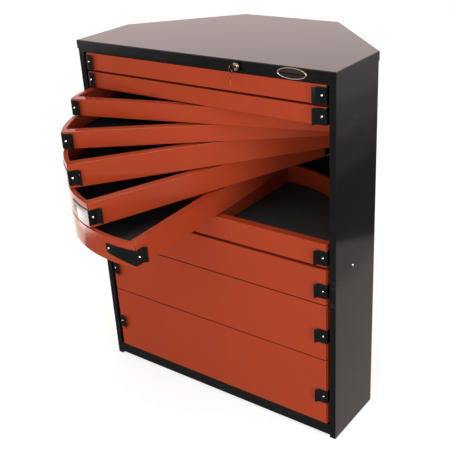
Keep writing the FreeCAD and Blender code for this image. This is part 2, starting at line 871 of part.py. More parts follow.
drawer_pieces = []
top_drops = {2: dim("top_drop_2"), 9: dim("top_drop_9")}
for number in range(1, DRAWER_COUNT + 1):
    low = levels[number] + dim("drawer_gap")
    room = dim("pitch_{}".format(number))
    height = room - dim("drawer_gap") * 2 - top_drops.get(number, 0)
    turn = dim("open_{}".format(number))
    tray = make_tray(number, height, room)
    if number == 1:
        tray = slotted_for_cam(tray, height)
    mat = group("mat_{}".format(number), mat_sheets)
    pulls = group("pulls_{}".format(number), pull_right, pull_left)
    rise = dim("pull_rise_{}".format(number)) - pull_height / 2
    for kind, piece, lift in (("tray", tray, 0), ("mat", mat, tray_sheet), ("pulls", pulls, rise)):
        put(piece, z=low + lift, turn=turn)
        piece.Label = "drawer_{:02d}_{}".format(number, kind)
        drawer_pieces.append(piece)

doc.recompute()

# Check every object, then write each piece

pieces = [
    top_lid, side_panel_left, side_panel_right, rear_panel_left, rear_panel_right,
    back_panel, base_pan, bottom_rail, header_rail, top_brace, side_stiffener_left,
    side_stiffener_right, pivot_shaft, shaft_foot, shaft_head,
    lock_barrel, lock_clip, lock_plug, lock_cam, key,
] + drawer_pieces

for thing in doc.Objects:
    if "Invalid" in thing.State or "Error" in thing.State:
        raise RuntimeError("{} did not build: {}".format(thing.Name, thing.State))

for piece in pieces:
    if piece.Shape.isNull() or not piece.Shape.isValid():
        raise RuntimeError("{} has no valid shape".format(piece.Label))

os.makedirs("parts", exist_ok=True)
for piece in pieces:
    piece.Shape.exportStep(os.path.join("parts", piece.Label + ".step"))
    solids = piece.Shape.Solids
    volume = sum(solid.Volume for solid in solids) / 1000
    print("{:<24} solids {:>2}  volume {:>9.1f} cm3".format(piece.Label, len(solids), volume))
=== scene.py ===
"""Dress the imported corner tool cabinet.

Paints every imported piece, adds the screws, rivets, rolled edges, badge plate
and spare key that stay with the scene, and sets the floor, lights and camera.
Lengths are metres in the row's frame: +X right, +Y back, +Z up, with the
origin on the shaft's axis at the floor.
"""

from __future__ import annotations

import json
import logging
import math
from dataclasses import dataclass, field
from enum import Enum

import bmesh
import bpy
from mathutils import Matrix, Vector

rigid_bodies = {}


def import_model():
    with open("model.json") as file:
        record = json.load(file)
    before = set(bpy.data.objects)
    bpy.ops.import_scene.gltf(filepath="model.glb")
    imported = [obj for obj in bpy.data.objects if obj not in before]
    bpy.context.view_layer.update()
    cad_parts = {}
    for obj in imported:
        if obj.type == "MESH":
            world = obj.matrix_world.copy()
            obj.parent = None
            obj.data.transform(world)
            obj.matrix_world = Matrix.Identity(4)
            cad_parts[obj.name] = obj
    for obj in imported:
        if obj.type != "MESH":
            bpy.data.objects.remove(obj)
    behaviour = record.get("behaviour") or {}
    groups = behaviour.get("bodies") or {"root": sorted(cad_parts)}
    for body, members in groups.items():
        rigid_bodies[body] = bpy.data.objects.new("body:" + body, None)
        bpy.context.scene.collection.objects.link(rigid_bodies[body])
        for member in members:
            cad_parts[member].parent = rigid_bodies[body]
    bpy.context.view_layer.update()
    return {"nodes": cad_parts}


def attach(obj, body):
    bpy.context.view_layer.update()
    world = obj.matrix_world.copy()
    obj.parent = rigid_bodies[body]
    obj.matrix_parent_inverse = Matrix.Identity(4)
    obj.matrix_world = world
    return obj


LOG = logging.getLogger("corner_cabinet")
Colour = tuple[float, float, float]
Spot = tuple[float, float, float]
Socket = bpy.types.NodeSocket
WHITE: Colour = (1.0, 1.0, 1.0)

# Meshes: points closer than this are one, edges sharper than this stay sharp,
# and a bevel with this profile is a true arc
MERGE_DISTANCE = 1e-7
SHARP_ANGLE = math.radians(35)
ARC_PROFILE = 0.5

# Only a drawer's round wall and its flange lie further than this from the shaft
WALL_REACH = 0.4

# Shading: rays that round an edge, the noises' roughness, and the numbers of a
# Mix node's factor and two inputs and of its result
EDGE_SAMPLES = 6
NOISE_ROUGHNESS = 0.55
MIX_COLOUR_INPUTS, MIX_COLOUR_OUTPUT = (0, 6, 7), 2
MIX_VECTOR_INPUTS, MIX_VECTOR_OUTPUT = (0, 4, 5), 1


class Surface(Enum):
    """What the fine texture of a finish is."""

    PEEL = "peel"
    BRUSHED = "brushed"
    RIBBED = "ribbed"
    CAST = "cast"


@dataclass(frozen=True)
class Finish:
    """One finish of the cabinet, with the look of its surface.

    The texture's size and height are in metres, and so is the radius to which
    the shading rounds an edge.
    """

    name: str
    colour: Colour
    roughness: float
    metallic: float = 0.0
    ior: float = 1.45
    specular: float = 0.5
    gloss_spread: float = 0.04
    tone_spread: float = 0.05
    dust: float = 0.0
    scuffs: float = 0.0
    surface: Surface = Surface.PEEL
    texture_size: float = 0.0016
    texture_height: float = 0.00002
    edge_radius: float = 0.0012
    round_walls: bool = False


CABINET_BLACK = Finish(
    "cabinet_black", (0.0065, 0.0062, 0.0064), 0.1, ior=1.4, specular=0.4, gloss_spread=0.05,
    dust=0.02, scuffs=0.15, texture_size=0.0022, texture_height=0.000012)
# The lid is in the cabinet's black paint; this copy of it is set darker, as painted shade
LID_SHADED_BLACK = Finish(
    "lid_shaded_black", (0.003, 0.0028, 0.0028), 0.16, ior=1.44, gloss_spread=0.04,
    dust=0.05, scuffs=0.12, texture_size=0.0022, texture_height=0.000012,
    edge_radius=0.0004)
DRAWER_ORANGE = Finish(
    "drawer_orange", (0.385, 0.0492, 0.0163), 0.13, ior=1.4, specular=0.4, gloss_spread=0.05,
    tone_spread=0.05, dust=0.02, texture_size=0.0018, texture_height=0.000014,
    edge_radius=0.0018, round_walls=True)
PULL_BLACK = Finish(
    "pull_black", (0.005, 0.006, 0.006), 0.09, ior=1.4, specular=0.4, gloss_spread=0.05,
    scuffs=0.1, texture_size=0.0014, texture_height=0.000012, round_walls=True)
FOOT_BLACK = Finish(
    "foot_black", (0.012, 0.012, 0.012), 0.35, gloss_spread=0.1, dust=0.1,
    surface=Surface.CAST, texture_size=0.002, texture_height=0.00006)
MAT_BLACK = Finish(
    "mat_black", (0.056, 0.0575, 0.06), 0.8, ior=1.4, specular=0.15, gloss_spread=0.08,
    tone_spread=0.12, dust=0.1, surface=Surface.RIBBED, texture_size=0.003,
    texture_height=0.0002)
SHAFT_STEEL = Finish(
    "shaft_steel", (0.5, 0.49, 0.48), 0.26, metallic=1.0, gloss_spread=0.08,
    surface=Surface.BRUSHED, texture_size=0.0006, texture_height=0.000004)
LOCK_BRASS = Finish(
    "lock_brass", (0.74, 0.53, 0.39), 0.26, metallic=1.0, gloss_spread=0.1,
    surface=Surface.BRUSHED, texture_size=0.0005, texture_height=0.000004)
LOCK_ZINC = Finish(
    "lock_zinc", (0.55, 0.55, 0.53), 0.3, metallic=1.0, gloss_spread=0.1,
    surface=Surface.BRUSHED, texture_size=0.0006, texture_height=0.000005)
KEY_NICKEL = Finish(
    "key_nickel", (0.085, 0.055, 0.035), 0.3, metallic=1.0, gloss_spread=0.12,
    surface=Surface.BRUSHED, texture_size=0.0004, texture_height=0.000004)
SCREW_CHROME = Finish(
    "screw_chrome", (0.5, 0.46, 0.45), 0.14, metallic=1.0, gloss_spread=0.08,
    surface=Surface.BRUSHED, texture_size=0.0004, texture_height=0.000002)
BADGE_RIM = Finish(
    "badge_rim", (0.6, 0.42, 0.35), 0.28, metallic=1.0, gloss_spread=0.08,
    surface=Surface.BRUSHED, texture_size=0.0004, texture_height=0.000002)
BADGE_ENAMEL = Finish(
    "badge_enamel", (0.018, 0.011, 0.011), 0.2, gloss_spread=0.06,
    tone_spread=0.2, texture_size=0.001, texture_height=0.000006)


class Graph:
    """A node tree with short calls for adding and joining nodes."""

    def __init__(self, tree: bpy.types.NodeTree) -> None:
        """Keep the tree that nodes are added to."""
        self.tree = tree

    def node(self, kind: str, inputs: dict | None = None, **settings: object) -> bpy.types.Node:
        """Add a node.

        Args:
            kind: The node's type, without the words ShaderNode.
            inputs: A number, colour or socket for each named or numbered input.
            settings: Values of the node's own properties.

        Returns:
            The new node.
        """
        made = self.tree.nodes.new(kind if kind.startswith("Node") else "ShaderNode" + kind)
        for name, value in settings.items():
            setattr(made, name, value)
        for name, value in (inputs or {}).items():
            self.feed(made.inputs[name], value)
        return made

    def feed(self, target: Socket, value: object) -> None:
        """Give an input a value, or join it to a socket."""
        if isinstance(value, bpy.types.NodeSocket):
            self.tree.links.new(value, target)
        elif isinstance(value, tuple) and target.type == "RGBA":
            target.default_value = (*value, 1.0)
        else:
            target.default_value = value

    def math(self, operation: str, *values: object, clamp: bool = False) -> Socket:
        """Add a Math node and return what it puts out."""
        inputs = dict(enumerate(values))
        return self.node("Math", inputs, operation=operation, use_clamp=clamp).outputs[0]

    def vector(self, operation: str, *values: object, output: str = "Vector") -> Socket:
        """Add a Vector Math node and return one of its outputs."""
        inputs = dict(enumerate(values))
        return self.node("VectorMath", inputs, operation=operation).outputs[output]

    def noise(self, place: Socket, scale: object, detail: float = 2.0) -> Socket:
        """Add a Noise Texture and return its grey value."""
        inputs = {"Vector": place, "Scale": scale, "Detail": detail,
                  "Roughness": NOISE_ROUGHNESS}
        return self.node("TexNoise", inputs).outputs[0]

    def mix(self, factor: object, first: object, second: object) -> Socket:
        """Mix two colours and return the result."""
        made = self.node("Mix", data_type="RGBA")
        for index, value in zip(MIX_COLOUR_INPUTS, (factor, first, second)):
            self.feed(made.inputs[index], value)
        return made.outputs[MIX_COLOUR_OUTPUT]

    def between(self, value: Socket, low: float, high: float) -> Socket:
        """Return 0 below low, 1 above high and a smooth rise between them."""
        inputs = {"Value": value, "From Min": low, "From Max": high}
        made = self.node("MapRange", inputs, interpolation_type="SMOOTHSTEP")
        return made.outputs[0]


class EffectLibrary:
    """The shader node groups that several finishes share, each built once.

    A share is how much of one effect is added to another, and a middle is the
    level of a noise that leaves the surface as it is.
    """

    fine_share: float = 0.35
    tone_middle: float = 0.68
    tone_gain: float = 4.0
    dust_colour: Colour = (0.42, 0.39, 0.36)
    scuff_colour: Colour = (0.2, 0.18, 0.17)
    scuff_stretch: Spot = (9.0, 9.0, 31.0)
    scuff_middle: float = 0.5
    hands_share: float = 0.8
    grain_share: float = 0.4
    gloss_middle: float = 0.45
    slow_scale: float = 0.12
    slow_share: float = 1.5
    brushed_stretch: Spot = (1.0, 1.0, 14.0)
    brushed_scale: float = 0.25
    rib_grain_share: float = 0.35
    wall_agreement: float = 0.97

    def __init__(self) -> None:
        """Build every group."""
        self.tone = self._tone()
        self.gloss = self._gloss()
        self.round_wall = self._round_wall()
        self.heights = {
            Surface.PEEL: self._peel(),
            Surface.BRUSHED: self._brushed(),
            Surface.RIBBED: self._ribbed(),
            Surface.CAST: self._cast(),
        }

    @staticmethod
    def _open(name: str, inputs: dict[str, str], output: tuple[str, str]) -> tuple:
        """Start a group.

        Args:
            name: The group's name.
            inputs: The kind of each named input socket.
            output: The name and kind of the one output socket.

        Returns:
            The group's graph, its inputs by name and its output socket.
        """
        tree = bpy.data.node_groups.new(name, "ShaderNodeTree")
        kinds = {"value": "NodeSocketFloat", "vector": "NodeSocketVector",
                 "colour": "NodeSocketColor"}
        for label, kind in inputs.items():
            tree.interface.new_socket(label, in_out="INPUT", socket_type=kinds[kind])
        tree.interface.new_socket(output[0], in_out="OUTPUT", socket_type=kinds[output[1]])
        graph = Graph(tree)
        entry = graph.node("NodeGroupInput")
        leave = graph.node("NodeGroupOutput")
        return graph, entry.outputs, leave.inputs[output[0]]

    def _tone(self) -> bpy.types.NodeTree:
        """Build the group that lets a colour wander, with dust and scuffs."""
        graph, given, out = self._open("cabinet_tone", {
            "Colour": "colour", "Place": "vector", "Up": "vector", "Spread": "value",
            "Dust": "value", "Scuffs": "value"}, ("Colour", "colour"))
        broad = graph.noise(given["Place"], scale=3.1, detail=3.0)
        fine = graph.noise(given["Place"], scale=41.0, detail=4.0)
        both = graph.math("MULTIPLY_ADD", fine, self.fine_share, broad)
        swing = graph.math(
            "MULTIPLY", graph.math("SUBTRACT", both, self.tone_middle), given["Spread"])
        level = graph.math("MULTIPLY_ADD", swing, self.tone_gain, 1.0)
        toned = graph.vector("MULTIPLY", given["Colour"],
                             graph.node("CombineXYZ", {0: level, 1: level, 2: level}).outputs[0])
        split = graph.node("SeparateXYZ", {0: given["Up"]})
        specks = graph.between(
            graph.noise(given["Place"], scale=190.0, detail=6.0), low=0.5, high=0.75)
        lying = graph.math(
            "MULTIPLY", graph.between(split.outputs[2], low=0.4, high=0.95), specks)
        film = graph.math("MULTIPLY", lying, given["Dust"])
        dusty = graph.mix(film, toned, self.dust_colour)
        wisps = graph.math("ABSOLUTE", graph.math(
            "SUBTRACT", graph.node("TexNoise", {
                "Vector": graph.vector("MULTIPLY", given["Place"], self.scuff_stretch),
                "Scale": 1.0, "Detail": 7.0, "Roughness": 0.62, "Distortion": 0.9}).outputs[0],
            self.scuff_middle))
        lines = graph.math("SUBTRACT", 1.0, graph.between(wisps, low=0.001, high=0.009))
        patches = graph.between(
            graph.noise(given["Place"], scale=5.3, detail=2.0), low=0.52, high=0.68)
        marks = graph.math("MULTIPLY", graph.math("MULTIPLY", lines, patches), given["Scuffs"])
        graph.feed(out, graph.mix(marks, dusty, self.scuff_colour))
        return graph.tree

    def _gloss(self) -> bpy.types.NodeTree:
        """Build the group that varies roughness with handling and fine scratches."""
        graph, given, out = self._open("cabinet_gloss", {
            "Place": "vector", "Level": "value", "Spread": "value"}, ("Roughness", "value"))
        hands = graph.between(
            graph.noise(given["Place"], scale=7.0, detail=4.0), low=0.35, high=0.75)
        grain = graph.noise(given["Place"], scale=320.0, detail=2.0)
        mixed = graph.math("MULTIPLY_ADD", grain, self.grain_share,
                           graph.math("MULTIPLY", hands, self.hands_share))
        swing = graph.math(
            "MULTIPLY", graph.math("SUBTRACT", mixed, self.gloss_middle), given["Spread"])
        graph.feed(out, graph.math("ADD", given["Level"], swing, clamp=True))
        return graph.tree

    def _peel(self) -> bpy.types.NodeTree:
        """Build the faint orange peel of sprayed paint."""
        graph, given, out = self._open(
            "cabinet_peel", {"Place": "vector", "Size": "value"}, ("Height", "value"))
        scale = graph.math("DIVIDE", 1.0, given["Size"])
        coarse = graph.noise(given["Place"], scale, detail=1.0)
        slow = graph.noise(
            given["Place"], graph.math("MULTIPLY", scale, self.slow_scale), detail=1.0)
        graph.feed(out, graph.math("MULTIPLY_ADD", slow, self.slow_share, coarse))
        return graph.tree

    def _brushed(self) -> bpy.types.NodeTree:
        """Build the fine turned or drawn lines of bare metal."""
        graph, given, out = self._open(
            "cabinet_brushed", {"Place": "vector", "Size": "value"}, ("Height", "value"))
        drawn = graph.vector("MULTIPLY", given["Place"], self.brushed_stretch)
        scale = graph.math("DIVIDE", self.brushed_scale, given["Size"])
        graph.feed(out, graph.noise(drawn, scale, detail=3.0))
        return graph.tree

    def _ribbed(self) -> bpy.types.NodeTree:
        """Build the fine ribs of a rubber drawer mat, with a little grain."""
        graph, given, out = self._open(
            "cabinet_ribbed", {"Place": "vector", "Size": "value"}, ("Height", "value"))
        split = graph.node("SeparateXYZ", {0: given["Place"]})
        turns = graph.math("DIVIDE", 2 * math.pi, given["Size"])
        wave = graph.math("SINE", graph.math("MULTIPLY", split.outputs[0], turns))
        rib = graph.between(wave, low=-0.5, high=0.6)
        grain = graph.noise(given["Place"], scale=1400.0, detail=2.0)
        graph.feed(out, graph.math("MULTIPLY_ADD", grain, self.rib_grain_share, rib))
        return graph.tree

    def _cast(self) -> bpy.types.NodeTree:
        """Build the coarse skin of thick brushed-on paint."""
        graph, given, out = self._open(
            "cabinet_cast", {"Place": "vector", "Size": "value"}, ("Height", "value"))
        scale = graph.math("DIVIDE", 1.0, given["Size"])
        graph.feed(out, graph.noise(given["Place"], scale, detail=5.0))
        return graph.tree

    def _round_wall(self) -> bpy.types.NodeTree:
        """Build the group that reads a drawer's curved walls as truly round.

        The curved walls are centred on the shaft. Where a face further out than
        WALL_REACH looks along its own radius, the normal becomes that radius.
        """
        graph, given, out = self._open("cabinet_round_wall", {
            "Place": "vector", "Facing": "vector"}, ("Normal", "vector"))
        flat = graph.vector("MULTIPLY", given["Place"], (1.0, 1.0, 0.0))
        reach = graph.vector("LENGTH", flat, output="Value")
        radial = graph.vector("NORMALIZE", flat)
        look = graph.vector("DOT_PRODUCT", radial, given["Facing"], output="Value")
        along = graph.math(
            "GREATER_THAN", graph.math("ABSOLUTE", look), self.wall_agreement)
        wall = graph.math("MULTIPLY", along, graph.math("GREATER_THAN", reach, WALL_REACH))
        turned = graph.node("VectorMath", {0: radial, "Scale": graph.math("SIGN", look)},
                            operation="SCALE").outputs[0]
        chosen = graph.node("Mix", data_type="VECTOR")
        for index, value in zip(MIX_VECTOR_INPUTS, (wall, given["Facing"], turned)):
            graph.feed(chosen.inputs[index], value)
        graph.feed(out, chosen.outputs[MIX_VECTOR_OUTPUT])
        return graph.tree


class PaintShop:
    """Makes each finish's material once and hands it out."""

    def __init__(self) -> None:
        """Build the shared effects."""
        self.effects = EffectLibrary()
        self.made: dict[str, bpy.types.Material] = {}

    def material(self, finish: Finish) -> bpy.types.Material:
        """Return the material of a finish, made on first use."""
        if finish.name not in self.made:
            self.made[finish.name] = self._build(finish)
        return self.made[finish.name]

    def _build(self, finish: Finish) -> bpy.types.Material:
        """Build a finish's nodes.

        Args:
            finish: The finish to build.

        Returns:
            The new material.
        """
        material = bpy.data.materials.new(finish.name)
        material.use_nodes = True
        material.node_tree.nodes.clear()
        graph = Graph(material.node_tree)
        place = graph.node("TexCoord").outputs["Object"]
        normal = graph.node("NewGeometry").outputs["Normal"]
        tone = self._group(graph, self.effects.tone, {
            "Colour": finish.colour, "Place": place, "Up": normal,
            "Spread": finish.tone_spread, "Dust": finish.dust, "Scuffs": finish.scuffs})
        gloss = self._group(graph, self.effects.gloss, {
            "Place": place, "Level": finish.roughness, "Spread": finish.gloss_spread})
        height = self._group(graph, self.effects.heights[finish.surface], {
            "Place": place, "Size": finish.texture_size})
        edge = graph.node("Bevel", {"Radius": finish.edge_radius}, samples=EDGE_SAMPLES)
        bump = graph.node("Bump", {
            "Height": height, "Distance": finish.texture_height, "Strength": 1.0,
            "Normal": edge.outputs[0]})
        if finish.round_walls:
            outward = graph.node("TexCoord").outputs["Normal"]
            smooth = self._group(graph, self.effects.round_wall, {
                "Place": place, "Facing": outward})
            world = graph.node("VectorTransform", {0: smooth}, vector_type="NORMAL",
                               convert_from="OBJECT", convert_to="WORLD")
            graph.feed(edge.inputs["Normal"], world.outputs[0])
        shader = graph.node("BsdfPrincipled", {
            "Base Color": tone, "Roughness": gloss, "Metallic": finish.metallic,
            "IOR": finish.ior, "Specular IOR Level": finish.specular,
            "Normal": bump.outputs[0]})
        graph.node("OutputMaterial", {"Surface": shader.outputs[0]})
        return material

    @staticmethod
    def _group(graph: Graph, tree: bpy.types.NodeTree, inputs: dict) -> Socket:
        """Place a shared effect with its own values and return its output."""
        placed = graph.node("Group", node_tree=tree)
        for name, value in inputs.items():
            graph.feed(placed.inputs[name], value)
        return placed.outputs[0]


@dataclass
class Workshop:
    """Turns a finished bmesh into a piece that rides on a body."""

    paints: PaintShop

    def piece(self, mesh: bmesh.types.BMesh, name: str, body: str, slot: str,
              *finishes: Finish) -> bpy.types.Object:
        """Make a piece of the cabinet.

        Args:
            mesh: The finished shape, in the row's frame. It is freed.
            name: The piece's name.
            body: The body that it rides on.
            slot: The record's material slot; not used.
            finishes: The finish of each material number in the mesh.

        Returns:
            The new object, at the origin.
        """
        bmesh.ops.remove_doubles(mesh, verts=mesh.verts[:], dist=MERGE_DISTANCE)
        bmesh.ops.recalc_face_normals(mesh, faces=mesh.faces[:])
        data = bpy.data.meshes.new(name)
        mesh.to_mesh(data)
        mesh.free()
        data.polygons.foreach_set("use_smooth", [True] * len(data.polygons))
        data.set_sharp_from_angle(angle=SHARP_ANGLE)
        for finish in finishes:
            data.materials.append(self.paints.material(finish))
        made = bpy.data.objects.new(name, data)
        bpy.context.scene.collection.objects.link(made)
        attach(made, body)
        LOG.info("%s: %d faces on %s", name, len(data.polygons), body)
        return made


def bevel(mesh: bmesh.types.BMesh, edges: list, offset: float, segments: int = 2) -> None:
    """Round the given edges of a mesh."""
    bmesh.ops.bevel(mesh, geom=edges, offset=offset, affect="EDGES", segments=segments,
                    profile=ARC_PROFILE, material=-1, clamp_overlap=True)


def facing(direction: Vector, spot: Vector) -> Matrix:
    """Return the matrix that stands a part along a direction at a spot."""
    turn = Vector((0, 0, 1)).rotation_difference(direction.normalized())
    return Matrix.Translation(spot) @ turn.to_matrix().to_4x4()


@dataclass
class PanHeadScrew:
    """A domed screw head with a cross recess.

    The shoulder and the recess's rim are shares of the radius they follow and
    of the height. The recess's points nearer its axis than the reach, and
    between the four arms, are drawn in by the waist.
    """

    radius: float = 0.0038
    height: float = 0.0022
    recess_radius: float = 0.0018
    recess_depth: float = 0.0012
    sunk: float = 0.0003
    side_share: float = 0.3
    shoulder: tuple[float, float] = (0.88, 0.68)
    recess_rim: float = 1.25
    recess_edge_height: float = 0.97
    recess_floor: float = 0.55
    recess_reach: float = 1.05
    on_axis: float = 1e-6
    arm_half: float = 0.2
    arm_waist: float = 0.42
    steps: int = 16

    def add(self, mesh: bmesh.types.BMesh, spot: Vector, direction: Vector) -> None:
        """Add one head.

        Args:
            mesh: The mesh that gets it.
            spot: Where the head meets the face under it.
            direction: The way the head looks.
        """
        profile = [
            (self.radius, -self.sunk), (self.radius, self.height * self.side_share),
            (self.radius * self.shoulder[0], self.height * self.shoulder[1]),
            (self.recess_radius * self.recess_rim, self.height),
            (self.recess_radius, self.height * self.recess_edge_height),
            (self.recess_radius * self.recess_floor, self.height - self.recess_depth),
            (0.0, self.height - self.recess_depth)]
        start = [mesh.verts.new((x, 0, z)) for x, z in profile]
        edges = [mesh.edges.new(pair) for pair in zip(start, start[1:])]
        before = set(mesh.verts) - set(start)
        bmesh.ops.spin(mesh, geom=start + edges, cent=(0, 0, 0), axis=(0, 0, 1),
                       angle=2 * math.pi, steps=self.steps, use_merge=True)
        head = [v for v in mesh.verts if v not in before]
        for vert in head:
            reach = math.hypot(vert.co.x, vert.co.y)
            quarter = math.atan2(vert.co.y, vert.co.x) / (math.pi / 2)
            between_arms = abs(quarter - round(quarter)) > self.arm_half
            if between_arms and self.on_axis < reach < self.recess_radius * self.recess_reach:
                vert.co.x *= self.arm_waist
                vert.co.y *= self.arm_waist
        bmesh.ops.remove_doubles(mesh, verts=head, dist=MERGE_DISTANCE)
        head = [v for v in mesh.verts if v not in before]
        bmesh.ops.transform(mesh, matrix=facing(direction, spot), verts=head)


@dataclass
class RivetHead:
    """A low domed blind rivet, painted over."""

    radius: float = 0.0034
    height: float = 0.0012
    sides: int = 14
    rings: int = 8

    def add(self, mesh: bmesh.types.BMesh, spot: Vector, direction: Vector) -> None:
        """Add one head at a spot, looking along a direction."""
        made = bmesh.ops.create_uvsphere(
            mesh, u_segments=self.sides, v_segments=self.rings, radius=self.radius)
        verts = made["verts"]
        flat = Matrix.Diagonal((1, 1, self.height / self.radius, 1))
        bmesh.ops.transform(mesh, matrix=facing(direction, spot) @ flat, verts=verts)


@dataclass
class HexFixing:
    """A hexagon nut with chamfered edges. The chamfer is a share of its height."""

    across: float = 0.013
    height: float = 0.005
    chamfer: float = 0.08

    def add(self, mesh: bmesh.types.BMesh, spot: Vector, direction: Vector) -> None:
        """Add one fixing at a spot, looking along a direction."""
        reach = self.across / 2 / math.cos(math.pi / 6)
        made = bmesh.ops.create_cone(
            mesh, cap_ends=True, segments=6, radius1=reach, radius2=reach, depth=self.height)
        verts = made["verts"]
        bmesh.ops.translate(mesh, vec=(0, 0, self.height / 2), verts=verts)
        place = facing(direction, spot)
        bmesh.ops.transform(mesh, matrix=place, verts=verts)
        rim = [e for e in mesh.edges if all(v in verts for v in e.verts)]
        bevel(mesh, rim, self.height * self.chamfer, 1)


@dataclass
class Drawer:
    """One half-disc drawer: its rim's height and how far it is swung open."""

    number: int
    rim: float
    swing: float
    sweep: float = 0.430
    face: float = 0.048
    pull_sheet: float = 0.002
    screw_x: float = 0.4145
    screw_setback: float = 0.010
    end_depth: float = 0.002
    lip_inner: float = 0.4142
    lip_outer: float = 0.4163
    lip_depth: float = 0.008
    lip_proud: float = 0.0002
    lip_round: float = 0.0009
    lip_front: float = 0.0222
    lip_steps: int = 96
    screw: PanHeadScrew = field(default_factory=PanHeadScrew)

    @property
    def tag(self) -> str:
        """The drawer's body name, which its nodes' names start with."""
        return f"drawer_{self.number:02d}"

    @property
    def turn(self) -> Matrix:
        """The turn from closed to how the drawer stands at rest."""
        return Matrix.Rotation(self.swing, 4, "Z")

    def pull_marks(self) -> tuple[float, float, float]:
        """Return a pull's front and far middle heights, and how far back it goes."""
        back = self.turn.inverted()
        node = bpy.data.objects[f"{self.tag}_pulls"]
        closed = [back @ v.co for v in node.data.vertices]
        rear = max(p.y for p in closed)
        ends = [p.z for p in closed if p.y > rear - self.end_depth]
        front = [p.z for p in closed if p.y < -self.face]
        return (min(front) + max(front)) / 2, (min(ends) + max(ends)) / 2, rear

    def screws(self, shop: Workshop) -> None:
        """Fix both pulls with a screw in front and one at the far end of the side leg."""
        front_z, end_z, rear = self.pull_marks()
        angle = math.asin((rear - self.screw_setback) / self.sweep)
        mesh = bmesh.new()
        for side in (-1, 1):
            front = Vector((side * self.screw_x, -self.face - self.pull_sheet, front_z))
            self.screw.add(mesh, front, Vector((0, -1, 0)))
            out = Vector((side * math.cos(angle), math.sin(angle), 0))
            self.screw.add(mesh, out * self.sweep + Vector((0, 0, end_z)), out)
        bmesh.ops.transform(mesh, matrix=self.turn, verts=mesh.verts[:])
        shop.piece(mesh, f"{self.tag}_pull_screws", self.tag, "shaft_steel", SCREW_CHROME)

    def rolled_edge(self, shop: Workshop) -> None:
        """Turn the curved flange's inner edge down in a smooth lip."""
        start = -math.asin(self.lip_front / self.lip_outer)
        mesh = bmesh.new()
        top, low = self.rim + self.lip_proud, self.rim - self.lip_depth
        corners = [(self.lip_inner, top), (self.lip_outer, top), (self.lip_outer, low),
                   (self.lip_inner + self.lip_round, low),
                   (self.lip_inner, low + self.lip_round)]
        section = mesh.faces.new([mesh.verts.new((x, 0, z)) for x, z in corners])
        bmesh.ops.bevel(mesh, geom=[section.verts[0]], offset=self.lip_round,
                        affect="VERTICES", segments=3, profile=ARC_PROFILE, material=-1)
        whole = mesh.verts[:] + mesh.edges[:] + mesh.faces[:]
        bmesh.ops.rotate(mesh, matrix=Matrix.Rotation(start, 3, "Z"), verts=mesh.verts[:])
        bmesh.ops.spin(mesh, geom=whole, cent=(0, 0, 0), axis=(0, 0, 1),
                       angle=math.pi - 2 * start, steps=self.lip_steps)
        bmesh.ops.transform(mesh, matrix=self.turn, verts=mesh.verts[:])
        shop.piece(mesh, f"{self.tag}_rolled_edge", self.tag, "drawer_paint", DRAWER_ORANGE)

    def build(self, shop: Workshop) -> None:
        """Add the drawer's own fixings and trim."""
        self.screws(shop)
        self.rolled_edge(shop)


@dataclass
class DrawerStack:
    """The eleven drawers on the shaft, read from their packed trays."""

    swings: dict[int, float] = field(default_factory=lambda: {
        3: 15.9, 4: 35.6, 5: 52.2, 6: 69.2, 7: 92.2})
    count: int = 11

    def drawers(self) -> list[Drawer]:
        """Return each drawer, with the height of its rim taken from its tray."""
        found = []
        for number in range(1, self.count + 1):
            tray = bpy.data.objects[f"drawer_{number:02d}_tray"].data.vertices
            rim = max(v.co.z for v in tray if v.co.xy.length > WALL_REACH)
            found.append(Drawer(number, rim, math.radians(self.swings.get(number, 0.0))))
        return found

    def build(self, shop: Workshop) -> None:
        """Add every drawer's fixings and trim."""
        for drawer in self.drawers():
            drawer.build(shop)


